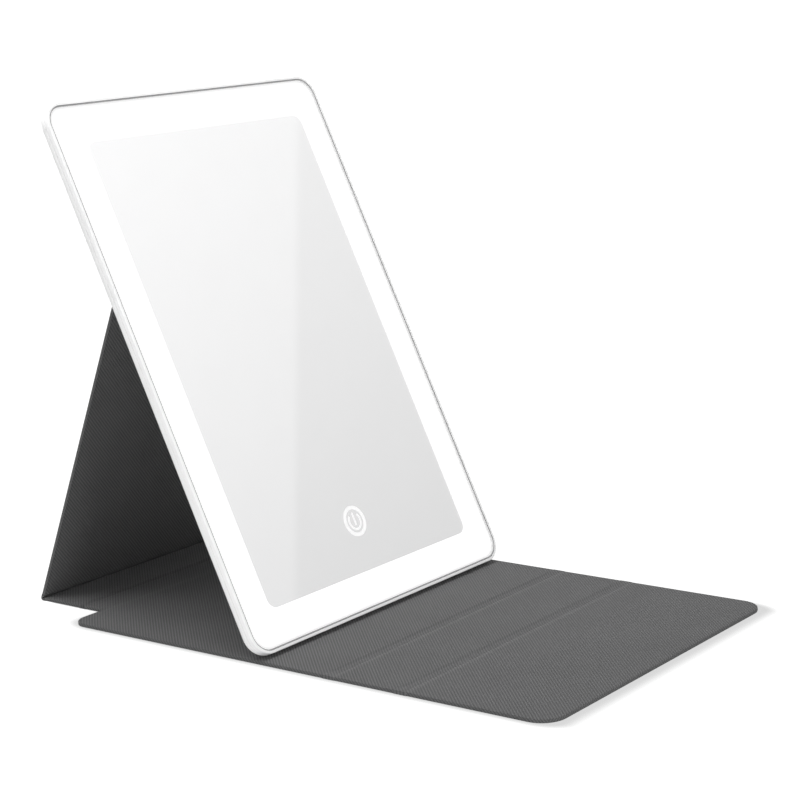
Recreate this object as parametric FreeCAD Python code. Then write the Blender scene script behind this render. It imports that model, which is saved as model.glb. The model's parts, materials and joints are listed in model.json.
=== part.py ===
"""Lit makeup mirror standing in a folding cover: every piece as its own solid, in millimetres.

X runs along the mirror's width, Y towards the back and Z up. The origin is on the table, at the
middle of the laid-out cover.
"""
import FreeCAD
import Part
import math
import os

Vector = FreeCAD.Vector
X_AXIS = Vector(1, 0, 0)
ORIGIN = Vector(0, 0, 0)

# Mirror panel, outside
mirror_width = 170.0
mirror_height = 237.9
mirror_depth = 6.6
corner_radius = 9.5
back_edge_radius = 3.8
lean_angle = 24.84

# Housing and bezel
housing_wall = 1.2
housing_floor = 0.9
lip_width = 1.2
lip_edge_radius = 0.4
parting_gap = 0.15
spigot_wall = 0.85
spigot_length = 0.9
spigot_clearance = 0.15
ledge_width = 3.5
ledge_thickness = 0.55
rib_thickness = 0.8
rib_gap = 0.3

# Glass and light
glass_recess = 0.3
glass_thickness = 1.0
seal_width = 0.5
seal_drop = 0.1
seal_gap = 0.05
adhesive_thickness = 0.2
adhesive_margin = 0.2
border_width = 16.0
zone_radius = 4.5
zone_drop = 0.9
silver_thickness = 0.15
diffuser_thickness = 0.8
diffuser_overlap = 0.9
layer_gap = 0.05
film_thickness = 0.2
strip_width = 6.0
strip_thickness = 0.3
led_length = 3.5
led_width = 2.8
led_height = 0.7
led_pitch = 12.0

# Electronics
symbol_height = 37.9
board_left = 14.0
board_height = 26.0
board_thickness_fr4 = 0.8
board_boss_height = 0.4
board_boss_radius = 2.2
board_margin = 1.0
tongue_width = 12.0
chip_size = 7.0
chip_height = 1.0
screw_radius = 0.8
screw_head_radius = 1.7
screw_head_height = 0.6
screw_depth = 0.7
screw_clearance = 0.1
screw_inset = 3.5
electrode_side = 15.0
electrode_thickness = 0.15
foam_side = 6.0
cell_width = 70.0
cell_height = 90.0
cell_thickness = 2.5
cell_radius = 3.0
cell_gap = 12.0
socket_width = 8.94
socket_height = 3.1
socket_length = 7.3
socket_setback = 1.7
socket_wall = 0.3
socket_clearance = 0.2
tongue_blade = 0.7
catch_rod_radius = 0.75
catch_rod_length = 110.0
catch_rod_gap = 0.2
catch_rod_slant = 30.0

# Cover laminate
cover_width = 165.0
narrow_width = 126.6
skin_thickness = 0.4
board_thickness = 0.8
lining_thickness = 0.4
rim_width = 0.8
board_clearance = 0.3
lining_clearance = 0.05
web_thickness = 1.0
fold_clearance = 0.3
front_corner_radius = 10.0
rear_corner_radius = 7.0
mount_corner_radius = 5.0

# Cover lengths, measured between fold axes
front_panel_length = 67.6
mid_panel_length = 34.6
foot_to_groove = 32.4
foot_to_notch = 106.6
neck_length = 12.6
strip_length = 25.1
mount_length = 52.0
groove_half_width = 3.0
crease_half_width = 2.0

# Stand
hinge_height = 172.9
foot_clearance = 0.3
recline_travel = 14.8

# Seat magnets
magnet_length = 30.0
magnet_width = 4.0
magnet_spread = 42.0
magnet_setback = 3.0
magnet_clearance = 0.1

# Worked-out sizes of the cover
cover_thickness = skin_thickness + board_thickness + lining_thickness
web_radius = web_thickness / 2
inner_offset = cover_thickness - web_radius
cover_half = cover_width / 2
narrow_half = narrow_width / 2
cover_length = (front_panel_length + mid_panel_length + foot_to_groove + foot_to_notch
                + neck_length + strip_length + web_radius)

# Places along the laid-out cover
front_edge_y = -cover_length / 2
groove_b_y = front_edge_y + front_panel_length
groove_a_y = groove_b_y + mid_panel_length
foot_y = groove_a_y + foot_to_groove
notch_y = foot_y + foot_to_notch
crease_y = notch_y + neck_length
rear_fold_y = crease_y + strip_length

# Stand triangle: rear fold, apex fold and the mirror's rounded foot
lean = math.radians(lean_angle)
foot_axis_y = foot_y + back_edge_radius * math.sin(lean) + (mirror_depth - back_edge_radius) * math.cos(lean)
foot_axis_z = cover_thickness + foot_clearance + back_edge_radius
apex_up = hinge_height - back_edge_radius
apex_back = back_edge_radius + inner_offset
apex_y = foot_axis_y + apex_up * math.sin(lean) + apex_back * math.cos(lean)
apex_z = foot_axis_z + apex_up * math.cos(lean) - apex_back * math.sin(lean)
flap_length = math.hypot(rear_fold_y - apex_y, apex_z - web_radius)
flap_angle = math.degrees(math.atan2(apex_z - web_radius, rear_fold_y - apex_y))

# Depths inside the mirror panel, from the front face (zero) backwards
glass_front_z = -glass_recess
glass_back_z = glass_front_z - glass_thickness
ledge_top_z = glass_back_z - adhesive_thickness
ledge_bottom_z = ledge_top_z - ledge_thickness
diffuser_top_z = ledge_bottom_z - layer_gap
diffuser_bottom_z = diffuser_top_z - diffuser_thickness
floor_z = -mirror_depth + housing_floor
housing_top_z = ledge_bottom_z - parting_gap
board_bottom_z = floor_z + board_boss_height
board_top_z = board_bottom_z + board_thickness_fr4
film_top_z = floor_z + film_thickness
silver_back_z = glass_back_z - silver_thickness
electrode_back_z = silver_back_z - electrode_thickness

# Insets of the mirror panel's layers from its outline
glass_inset = lip_width + seal_width + 2 * seal_gap
ledge_inset = lip_width + ledge_width
diffuser_inset = ledge_inset - diffuser_overlap
outer_rib_inset = ledge_inset - rib_gap
zone_inset = lip_width + border_width
inner_rib_inset = zone_inset
light_inset = (outer_rib_inset + rib_thickness + inner_rib_inset) / 2
bay_inset = inner_rib_inset + rib_thickness
socket_mouth_x = mirror_width / 2 - socket_setback
socket_z = floor_z + layer_gap + socket_height / 2
board_low_y = symbol_height - board_height / 2


def edges_where(shape, test):
    """Edges of a shape whose two ends both pass a test."""
    return [edge for edge in shape.Edges if all(test(vertex.Point) for vertex in edge.Vertexes)]


def near(value, target):
    """True where two lengths are the same."""
    return abs(value - target) < 1e-6


def plate(half_width, y0, y1, z0, z1, front_radius=0.0, rear_radius=0.0):
    """Flat plate, symmetric in X, with its own corner radius at the y0 end and the y1 end."""
    body = Part.makeBox(2 * half_width, y1 - y0, z1 - z0, Vector(-half_width, y0, z0))
    for end_y, radius in ((y0, front_radius), (y1, rear_radius)):
        if radius > 0:
            upright = [edge for edge in edges_where(body, lambda p: near(p.y, end_y))
                       if near(edge.Length, z1 - z0)]
            body = body.makeFillet(radius, upright)
    return body


def inset_plate(inset, z0, z1):
    """The mirror panel's outline, drawn in by an inset, as a plate."""
    radius = max(corner_radius - inset, zone_radius)
    return plate(mirror_width / 2 - inset, inset, mirror_height - inset, z0, z1, radius, radius)


def ring(outer_inset, inner_inset, z0, z1):
    """Closed frame between two insets of the mirror panel's outline."""
    return inset_plate(outer_inset, z0, z1).cut(inset_plate(inner_inset, z0, z1))


def block(x0, x1, y0, y1, z0, z1):
    """Box from its six limits."""
    return Part.makeBox(x1 - x0, y1 - y0, z1 - z0, Vector(x0, y0, z0))


def rod_along_x(radius, length, y, z):
    """Round rod centred on X = 0."""
    return Part.makeCylinder(radius, length, Vector(-length / 2, y, z), X_AXIS)


# Cover panels, laid flat with the outer face down

def nose(half_width, axis_y, panel_y):
    """Half of a fold web that carries the round bead on the fold axis."""
    low, high = sorted((axis_y, panel_y))
    web = plate(half_width, low, high, 0, web_thickness)
    return web.fuse(rod_along_x(web_radius, 2 * half_width, axis_y, web_radius)).removeSplitter()


def butt(half_width, start_y, panel_y):
    """Half of a fold web that stops short of the bead."""
    low, high = sorted((start_y, panel_y))
    return plate(half_width, low, high, 0, web_thickness)


def bead_reach(angle):
    """Distance from a fold axis at which a web clears the other web at a fold angle."""
    turn = math.radians(angle)
    folded = (web_radius + fold_clearance + web_radius * math.cos(turn)) / math.sin(turn)
    return max(folded, web_radius + fold_clearance)


def panel_reach(angle):
    """Distance from a fold axis at which two full panels clear each other at a fold angle."""
    turn = math.radians(angle)
    return (inner_offset + fold_clearance + inner_offset * math.cos(turn)) / math.sin(turn)


def laminate(outline):
    """Turned-edge skin, stiffener board and lining of one panel.

    outline(inset, z0, z1) gives the panel's own plate, drawn in by the inset.
    """
    skin = outline(0, 0, cover_thickness)
    skin = skin.cut(outline(rim_width, skin_thickness, 2 * cover_thickness))
    board_top = skin_thickness + board_thickness
    board = outline(rim_width + board_clearance, skin_thickness, board_top)
    lining = outline(rim_width + lining_clearance, board_top, cover_thickness)
    return skin, board, lining


def panel_outline(half_width, y0, y1, front_radius=0.0, rear_radius=0.0):
    """Outline function of a plain rectangular panel."""
    def outline(inset, z0, z1):
        return plate(half_width - inset, y0 + inset, y1 - inset, z0, z1,
                     max(front_radius - inset, 0.0), max(rear_radius - inset, 0.0))
    return outline


def base_outline(inset, z0, z1):
    """Wide panel with its narrower neck at the back."""
    wide = plate(cover_half - inset, groove_a_y + groove_half_width + inset, notch_y - inset, z0, z1,
                 0.0, rear_corner_radius - inset)
    neck = plate(narrow_half - inset, notch_y - 2 * rear_corner_radius,
                 crease_y - crease_half_width - inset, z0, z1)
    return wide.fuse(neck).removeSplitter()


def magnet_bars(line_ys, clearance):
    """Bar magnets in pairs along the given lines, in the thickness of the boards."""
    bars = []
    half_length = magnet_length / 2 + clearance
    half_width = magnet_width / 2 + clearance
    for y in line_ys:
        for x in (-magnet_spread, magnet_spread):
            bars.append(block(x - half_length, x + half_length, y - half_width, y + half_width,
                              skin_thickness, skin_thickness + board_thickness))
    return Part.makeCompound(bars)


def base_panel():
    """Wide panel under the mirror: round beads at the groove in front and at the neck crease."""
    skin, board, lining = laminate(base_outline)
    skin = skin.fuse([nose(cover_half, groove_a_y, groove_a_y + groove_half_width),
                      nose(narrow_half, crease_y, crease_y - crease_half_width)]).removeSplitter()
    seats = (foot_axis_y, groove_a_y + groove_half_width + rim_width + magnet_setback)
    return {"base_outer_skin": skin,
            "base_board": board.cut(magnet_bars(seats, magnet_clearance)),
            "base_lining": lining,
            "base_magnets": magnet_bars(seats, 0.0)}


def mid_panel():
    """Panel between the grooves, with the bead of the front groove."""
    y0 = groove_b_y + groove_half_width
    y1 = groove_a_y - groove_half_width
    skin, board, lining = laminate(panel_outline(cover_half, y0, y1))
    skin = skin.fuse([nose(cover_half, groove_b_y, y0),
                      butt(cover_half, groove_a_y - bead_reach(90), y1)]).removeSplitter()
    seats = (y0 + rim_width + magnet_setback,)
    return {"mid_outer_skin": skin,
            "mid_board": board.cut(magnet_bars(seats, magnet_clearance)),
            "mid_lining": lining,
            "mid_magnets": magnet_bars(seats, 0.0)}


def front_panel():
    """Front panel with the cover's rounded free corners."""
    y1 = groove_b_y - groove_half_width
    outline = panel_outline(cover_half, front_edge_y, y1, front_corner_radius)
    skin, board, lining = laminate(outline)
    skin = skin.fuse(butt(cover_half, groove_b_y - bead_reach(90), y1)).removeSplitter()
    return {"front_outer_skin": skin, "front_board": board, "front_lining": lining}


def strip_panel():
    """Narrow strip on the table between the neck crease and the rear fold."""
    y0 = crease_y + crease_half_width
    y1 = rear_fold_y - panel_reach(flap_angle - recline_travel)
    skin, board, lining = laminate(panel_outline(narrow_half, y0, y1))
    skin = skin.fuse([butt(narrow_half, crease_y + bead_reach(90), y0),
                      nose(narrow_half, rear_fold_y, y1)]).removeSplitter()
    return {"strip_outer_skin": skin, "strip_board": board, "strip_lining": lining}


def flap_panel():
    """Flap from the rear fold up to the apex fold on the mirror's back."""
    tight_angle = flap_angle - recline_travel
    y0 = panel_reach(tight_angle)
    y1 = flap_length - crease_half_width
    skin, board, lining = laminate(panel_outline(narrow_half, y0, y1))
    skin = skin.fuse([butt(narrow_half, bead_reach(tight_angle), y0),
                      nose(narrow_half, flap_length, y1)]).removeSplitter()
    pieces = {"flap_outer_skin": skin, "flap_board": board, "flap_lining": lining}
    for piece in pieces.values():
        piece.rotate(Vector(0, 0, web_radius), X_AXIS, 180 - flap_angle)
        piece.translate(Vector(0, rear_fold_y, 0))
    return pieces


def mount_panel():
    """Tab of the cover that is glued to the mirror's back above the apex fold."""
    outline = panel_outline(narrow_half, crease_half_width, mount_length, 0.0, mount_corner_radius)
    skin, board, adhesive = laminate(outline)
    skin = skin.fuse(butt(narrow_half, bead_reach(90), crease_half_width)).removeSplitter()
    pieces = {"mount_outer_skin": skin, "mount_board": board, "mount_adhesive": adhesive}
    for piece in pieces.values():
        piece.translate(Vector(0, hinge_height, -mirror_depth - cover_thickness))
    return pieces


# Mirror panel, in its own frame: Y up the glass from its lower edge, Z out of its front face

def socket_slot(clearance, length, mouth_x):
    """Round-ended slot along X, the form of the charging socket."""
    half_height = socket_height / 2 + clearance
    half_flat = socket_width / 2 - socket_height / 2
    x0 = mouth_x - length
    slot = block(x0, mouth_x, symbol_height - half_flat, symbol_height + half_flat,
                 socket_z - half_height, socket_z + half_height)
    for side in (-half_flat, half_flat):
        centre = Vector(x0, symbol_height + side, socket_z)
        slot = slot.fuse(Part.makeCylinder(half_height, length, centre, X_AXIS))
    return slot.removeSplitter()


def tongue_room(z0, z1):
    """Room through ribs and layers for the board's tongue and the socket."""
    half = tongue_width / 2 + socket_clearance
    return block(mirror_width / 2 - bay_inset - board_margin, mirror_width / 2 - housing_wall - spigot_clearance,
                 symbol_height - half, symbol_height + half, z0, z1)


def screw_places():
    """Centres of the board's four screws."""
    right = mirror_width / 2 - bay_inset - board_margin
    return [(x, y) for x in (-board_left + screw_inset, right - screw_inset)
            for y in (board_low_y + screw_inset, board_low_y + board_height - screw_inset)]


def rear_housing():
    """White moulded tray with a rounded back edge, ring ribs and board bosses."""
    shell = inset_plate(0, -mirror_depth, housing_top_z)
    shell = shell.makeFillet(back_edge_radius, edges_where(shell, lambda p: near(p.z, -mirror_depth)))
    pocket = inset_plate(housing_wall, floor_z, 0)
    inner_radius = back_edge_radius - housing_wall
    pocket = pocket.makeFillet(inner_radius, edges_where(pocket, lambda p: near(p.z, floor_z)))
    shell = shell.cut(pocket)
    ribs = [ring(inset, inset + rib_thickness, floor_z - layer_gap, diffuser_bottom_z)
            for inset in (outer_rib_inset, inner_rib_inset)]
    bosses = [Part.makeCylinder(board_boss_radius, board_bottom_z - floor_z + layer_gap,
                                Vector(x, y, floor_z - layer_gap)) for x, y in screw_places()]
    shell = shell.fuse(ribs + bosses).removeSplitter()
    holes = [Part.makeCylinder(screw_radius + screw_clearance, screw_depth + screw_clearance,
                               Vector(x, y, board_bottom_z - screw_depth - screw_clearance))
             for x, y in screw_places()]
    slot = socket_slot(socket_clearance, socket_length + socket_setback + socket_clearance,
                       mirror_width / 2)
    return shell.cut(holes + [tongue_room(floor_z, 0), slot])


def front_bezel():
    """Front frame: lip, the ledge that carries the glass and a spigot inside the housing's wall."""
    frame = inset_plate(0, ledge_bottom_z, 0)
    frame = frame.makeFillet(lip_edge_radius, edges_where(frame, lambda p: near(p.z, 0)))
    frame = frame.cut([inset_plate(lip_width, ledge_top_z, 0), inset_plate(ledge_inset, ledge_bottom_z, 0)])
    spigot_inset = housing_wall + spigot_clearance
    spigot_end_z = ledge_bottom_z - spigot_length
    spigot = ring(spigot_inset, spigot_inset + spigot_wall, spigot_end_z, ledge_bottom_z)
    return frame.fuse(spigot).removeSplitter().cut(tongue_room(spigot_end_z, glass_back_z))


def silver_layer():
    """Mirror coating on the back of the glass, set a little low in the border."""
    coating = inset_plate(zone_inset, silver_back_z, glass_back_z)
    coating.translate(Vector(0, -zone_drop, 0))
    return coating


def light_strip(along_x, centre, start, end):
    """Flat strip with light packages at a steady pitch, on the reflector film."""
    def bar(middle, half_long, half_wide, z0, z1):
        if along_x:
            return block(middle - half_long, middle + half_long, centre - half_wide, centre + half_wide, z0, z1)
        return block(centre - half_wide, centre + half_wide, middle - half_long, middle + half_long, z0, z1)

    length = end - start
    strip_top = film_top_z + strip_thickness
    strip = bar((start + end) / 2, length / 2, strip_width / 2, film_top_z, strip_top)
    count = int(length // led_pitch)
    first = (start + end - (count - 1) * led_pitch) / 2
    packages = [bar(first + i * led_pitch, led_length / 2, led_width / 2, strip_top, strip_top + led_height)
                for i in range(count)]
    return strip.fuse(packages).removeSplitter()


def light_strips():
    """One strip behind each side of the border; the right one starts above the socket."""
    side = mirror_width / 2 - light_inset
    low = light_inset
    high = mirror_height - light_inset
    clear = strip_width / 2 + layer_gap
    above_socket = symbol_height + tongue_width / 2 + 2 * socket_clearance
    return {"led_strip_bottom": light_strip(True, low, -side + clear, side - clear),
            "led_strip_top": light_strip(True, high, -side + clear, side - clear),
            "led_strip_left": light_strip(False, -side, low + clear, high - clear),
            "led_strip_right": light_strip(False, side, above_socket, high - clear)}


def control_board():
    """Circuit board behind the touch symbol, with chips and a tongue that carries the socket."""
    right = mirror_width / 2 - bay_inset - board_margin
    board = block(-board_left, right, board_low_y, board_low_y + board_height, board_bottom_z, board_top_z)
    half_tongue = tongue_width / 2
    socket_back = socket_mouth_x - socket_length
    board = board.fuse(block(right, socket_back, symbol_height - half_tongue, symbol_height + half_tongue,
                             board_bottom_z, board_top_z))
    chip_x = right / 2
    chips = [block(chip_x + i * 2 * chip_size, chip_x + i * 2 * chip_size + chip_size,
                   symbol_height - chip_size / 2, symbol_height + chip_size / 2,
                   board_top_z, board_top_z + chip_height) for i in range(2)]
    holes = [Part.makeCylinder(screw_radius + screw_clearance, board_thickness_fr4, Vector(x, y, board_bottom_z))
             for x, y in screw_places()]
    return board.fuse(chips).removeSplitter().cut(holes)


def board_screws():
    """Four identical screws, heads on the board."""
    screws = []
    for x, y in screw_places():
        shank = Part.makeCylinder(screw_radius, board_thickness_fr4 + screw_depth,
                                  Vector(x, y, board_bottom_z - screw_depth))
        head = Part.makeCylinder(screw_head_radius, screw_head_height, Vector(x, y, board_top_z))
        screws.append(shank.fuse(head).removeSplitter())
    return Part.makeCompound(screws)


def symbol_pad(side, z0, z1):
    """Square pad behind the touch symbol."""
    half = side / 2
    return block(-half, half, symbol_height - half, symbol_height + half, z0, z1)


def usb_c_receptacle():
    """Charging socket: a round-ended metal sleeve, closed at the back, with its contact blade."""
    sleeve = socket_slot(0.0, socket_length, socket_mouth_x)
    cavity = socket_slot(-socket_wall, socket_length, socket_mouth_x + socket_wall)
    blade_half = socket_width / 2 - socket_height / 2
    blade = block(socket_mouth_x - socket_length, socket_mouth_x - socket_wall,
                  symbol_height - blade_half, symbol_height + blade_half,
                  socket_z - tongue_blade / 2, socket_z + tongue_blade / 2)
    return sleeve.cut(cavity).fuse(blade).removeSplitter()


def catch_rod():
    """Steel rod along the lower edge, lying in the housing's rounded inner corner."""
    inner_radius = back_edge_radius - housing_wall
    reach = inner_radius - catch_rod_gap - catch_rod_radius
    slant = math.radians(catch_rod_slant)
    return rod_along_x(catch_rod_radius, catch_rod_length, back_edge_radius - reach * math.sin(slant),
                       floor_z + inner_radius - reach * math.cos(slant))


def battery():
    """Flat cell and the tape that holds it to the housing floor."""
    low = board_low_y + board_height + cell_gap
    tape = plate(cell_width / 2 - cell_radius, low + cell_radius, low + cell_height - cell_radius,
                 floor_z, film_top_z)
    cell = plate(cell_width / 2, low, low + cell_height, film_top_z, film_top_z + cell_thickness,
                 cell_radius, cell_radius)
    return {"battery_cell": cell, "battery_tape": tape}


def mirror_panel():
    """All pieces of the lit mirror, in the mirror's own frame."""
    tongue_cut = tongue_room(floor_z, glass_back_z)
    film = ring(outer_rib_inset + rib_thickness + layer_gap, inner_rib_inset - layer_gap, floor_z, film_top_z)
    pieces = {
        "rear_housing": rear_housing(),
        "front_bezel": front_bezel(),
        "mirror_glass": inset_plate(glass_inset, glass_back_z, glass_front_z),
        "silver_layer": silver_layer(),
        "glass_seal": ring(lip_width + seal_gap, glass_inset - seal_gap, ledge_top_z, -seal_drop),
        "glass_adhesive": ring(glass_inset + adhesive_margin, ledge_inset - adhesive_margin,
                               ledge_top_z, glass_back_z).cut(tongue_cut),
        "diffuser_frame": ring(diffuser_inset, zone_inset, diffuser_bottom_z, diffuser_top_z).cut(tongue_cut),
        "reflector_sheet": film.cut(tongue_cut),
        "control_board": control_board(),
        "board_screws": board_screws(),
        "touch_electrode": symbol_pad(electrode_side, electrode_back_z, silver_back_z),
        "touch_contact_foam": symbol_pad(foam_side, board_top_z, electrode_back_z),
        "usb_c_receptacle": usb_c_receptacle(),
        "catch_rod": catch_rod(),
    }
    pieces.update(light_strips())
    pieces.update(battery())
    pieces.update(mount_panel())
    return pieces


def stand_mirror(pieces):
    """Lean the mirror back and set its rounded lower edge over the cover."""
    for piece in pieces.values():
        piece.translate(Vector(0, -back_edge_radius, mirror_depth - back_edge_radius))
        piece.rotate(ORIGIN, X_AXIS, 90 - lean_angle)
        piece.translate(Vector(0, foot_axis_y, foot_axis_z))
    return pieces


def main():
    """Build every piece and write one file for each."""
    os.makedirs("parts", exist_ok=True)
    pieces = {}
    for group in (base_panel(), mid_panel(), front_panel(), strip_panel(), flap_panel()):
        pieces.update(group)
    pieces.update(stand_mirror(mirror_panel()))
    for name, shape in pieces.items():
        shape.exportStep(f"parts/{name}.step")
        print(f"{name}: solids {len(shape.Solids)} valid {shape.isValid()} volume {shape.Volume:.1f} mm3")
    print(f"flap length {flap_length:.2f} angle {flap_angle:.2f}")
    print(f"rear fold y {rear_fold_y:.3f} z {web_radius:.3f}")
    print(f"apex fold y {apex_y:.3f} z {apex_z:.3f}")
    print(f"foot axis y {foot_axis_y:.3f} z {foot_axis_z:.3f}")
    print(f"crease y {crease_y:.3f} groove a y {groove_a_y:.3f} groove b y {groove_b_y:.3f}")


main()
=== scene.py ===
"""Lit makeup mirror leaning in its folding fabric cover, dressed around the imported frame."""
import json
import logging
import math
from collections.abc import Iterable, Sequence
from dataclasses import dataclass, field
from enum import Enum

import bmesh
import bpy
from mathutils import Matrix, Vector


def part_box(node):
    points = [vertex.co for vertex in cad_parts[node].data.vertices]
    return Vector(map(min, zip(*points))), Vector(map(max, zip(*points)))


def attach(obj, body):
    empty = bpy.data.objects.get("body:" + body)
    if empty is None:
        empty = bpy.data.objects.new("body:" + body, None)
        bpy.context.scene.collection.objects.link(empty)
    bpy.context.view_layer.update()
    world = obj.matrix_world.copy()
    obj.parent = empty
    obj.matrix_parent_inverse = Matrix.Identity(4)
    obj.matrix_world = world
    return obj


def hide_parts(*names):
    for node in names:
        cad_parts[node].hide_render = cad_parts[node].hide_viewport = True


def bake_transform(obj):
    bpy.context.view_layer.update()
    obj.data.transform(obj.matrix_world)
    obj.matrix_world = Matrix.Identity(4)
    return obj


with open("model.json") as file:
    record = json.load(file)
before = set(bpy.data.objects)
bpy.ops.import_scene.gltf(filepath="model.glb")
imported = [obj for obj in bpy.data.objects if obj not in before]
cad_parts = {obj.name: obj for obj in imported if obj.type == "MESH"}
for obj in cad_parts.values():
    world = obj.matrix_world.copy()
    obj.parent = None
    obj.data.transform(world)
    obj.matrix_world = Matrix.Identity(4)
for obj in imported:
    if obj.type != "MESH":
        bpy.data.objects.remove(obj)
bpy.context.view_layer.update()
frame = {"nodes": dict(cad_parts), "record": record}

LOG = logging.getLogger("makeup_mirror")
MM = 0.001
SMOOTH_ANGLE = math.radians(35)
SHADED = "shaded"
# Tolerances, in metres.
EXACT = 1e-7
NEAR = 1e-6
SIZE_TOLERANCE = 0.05 * MM
# How finely roundings, webs and bands are divided.
CORNER_STEPS = 10
TOP_STEPS = 4
BEAD_STEPS = 3
HEM_STEPS = 2
WEB_STEPS = 32
FADE_STEPS = 6
SPIN_STEPS = 72
# Share of a flat web, from the fold outwards, that bends.
BEND_SHARE = 0.8
# Most of a noise's values lie in this range; the slow patches are this share of the grain's scale.
NOISE_RANGE = (0.3, 0.7)
SLOW_SHARE = 0.02
NOISE_DETAIL = 3.0

Colour = tuple[float, float, float]
Corner = tuple[float, float, float]
Socket = bpy.types.NodeSocket
Node = bpy.types.Node
Material = bpy.types.Material
Piece = bpy.types.Object
Mesh = bmesh.types.BMesh
Face = bmesh.types.BMFace
Edge = bmesh.types.BMEdge
Vert = bmesh.types.BMVert
Value = Socket | float | tuple


class Body(Enum):
    """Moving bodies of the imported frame."""

    BASE = "base"
    MID = "mid"
    FRONT = "front"
    STRIP = "strip"
    FLAP = "flap"
    MIRROR = "mirror"


class Held(Enum):
    """How a cloth is carried by what it lies on."""

    STRETCHED = "stretched"
    LAID = "laid"


class Graph:
    """Adds and links shader nodes in one tree."""

    def __init__(self, tree: bpy.types.NodeTree) -> None:
        """Keep the tree that the nodes go into."""
        self.tree = tree

    def add(self, kind: str, **settings: object) -> Node:
        """Make one node.

        Args:
            kind: Blender's node type name.
            settings: attributes of the node to set.

        Returns:
            The new node.
        """
        node = self.tree.nodes.new(kind)
        for name, value in settings.items():
            setattr(node, name, value)
        return node

    def feed(self, socket: Socket, value: Value) -> None:
        """Link a socket to another socket, or set its own value."""
        if isinstance(value, Socket):
            self.tree.links.new(value, socket)
        else:
            socket.default_value = value

    def fill(self, node: Node, values: dict[str, Value]) -> None:
        """Link or set several inputs of a node by their names."""
        for name, value in values.items():
            self.feed(node.inputs[name], value)

    def math(self, operation: str, first: Value, second: Value = 0.0) -> Socket:
        """Combine two values with one Math node and return its result."""
        node = self.add("ShaderNodeMath", operation=operation)
        self.feed(node.inputs[0], first)
        self.feed(node.inputs[1], second)
        return node.outputs[0]

    def vector(self, operation: str, first: Value, second: Value = (0.0, 0.0, 0.0)) -> Socket:
        """Combine two vectors with one Vector Math node and return its result."""
        node = self.add("ShaderNodeVectorMath", operation=operation)
        self.feed(node.inputs[0], first)
        self.feed(node.inputs[1], second)
        return node.outputs["Value" if operation in ("DOT_PRODUCT", "LENGTH") else "Vector"]

    def dot(self, first: Value, second: Value) -> Socket:
        """Return the dot product of two vectors."""
        return self.vector("DOT_PRODUCT", first, second)

    def spread(self, value: Value, low: float, high: float, to_low: float, to_high: float,
               smooth: bool = False) -> Socket:
        """Map a value from one range to another.

        Args:
            value: the value to map.
            low: start of the range it comes in.
            high: end of the range it comes in.
            to_low: what the start becomes.
            to_high: what the end becomes.
            smooth: ease in and out of the range.

        Returns:
            The mapped value, kept inside the new range.
        """
        node = self.add("ShaderNodeMapRange", interpolation_type="SMOOTHSTEP" if smooth else "LINEAR")
        for index, number in enumerate((value, low, high, to_low, to_high)):
            self.feed(node.inputs[index], number)
        return node.outputs[0]

    def tint(self, colour: Value, amount: Value) -> Socket:
        """Multiply a colour by a value and return the product."""
        node = self.add("ShaderNodeVectorMath", operation="SCALE")
        self.feed(node.inputs[0], colour)
        self.feed(node.inputs["Scale"], amount)
        return node.outputs["Vector"]

    def mix(self, share: Value, first: Value, second: Value) -> Socket:
        """Return a value between two others, by a share from 0 to 1."""
        node = self.add("ShaderNodeMix", data_type="FLOAT")
        self.fill(node, {"Factor": share, "A": first, "B": second})
        return node.outputs[0]

    def noise(self, place: Value, scale: Value, detail: float = 2.0) -> Socket:
        """Return a noise value at a place."""
        node = self.add("ShaderNodeTexNoise")
        self.fill(node, {"Vector": place, "Scale": scale, "Detail": detail})
        return node.outputs[0]


def shader_group(name: str, takes: dict[str, str], gives: dict[str, str]) -> tuple[Graph, dict, dict]:
    """Start a shader node group with named sockets.

    Args:
        name: the group's name.
        takes: input names and their socket types.
        gives: output names and their socket types.

    Returns:
        The group's graph, its inputs by name and its output sockets by name.
    """
    tree = bpy.data.node_groups.new(name, "ShaderNodeTree")
    for label, kind in takes.items():
        tree.interface.new_socket(label, in_out="INPUT", socket_type=kind)
    for label, kind in gives.items():
        tree.interface.new_socket(label, in_out="OUTPUT", socket_type=kind)
    graph = Graph(tree)
    entry = graph.add("NodeGroupInput")
    leave = graph.add("NodeGroupOutput")
    return graph, {n: entry.outputs[n] for n in takes}, {n: leave.inputs[n] for n in gives}


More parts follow.
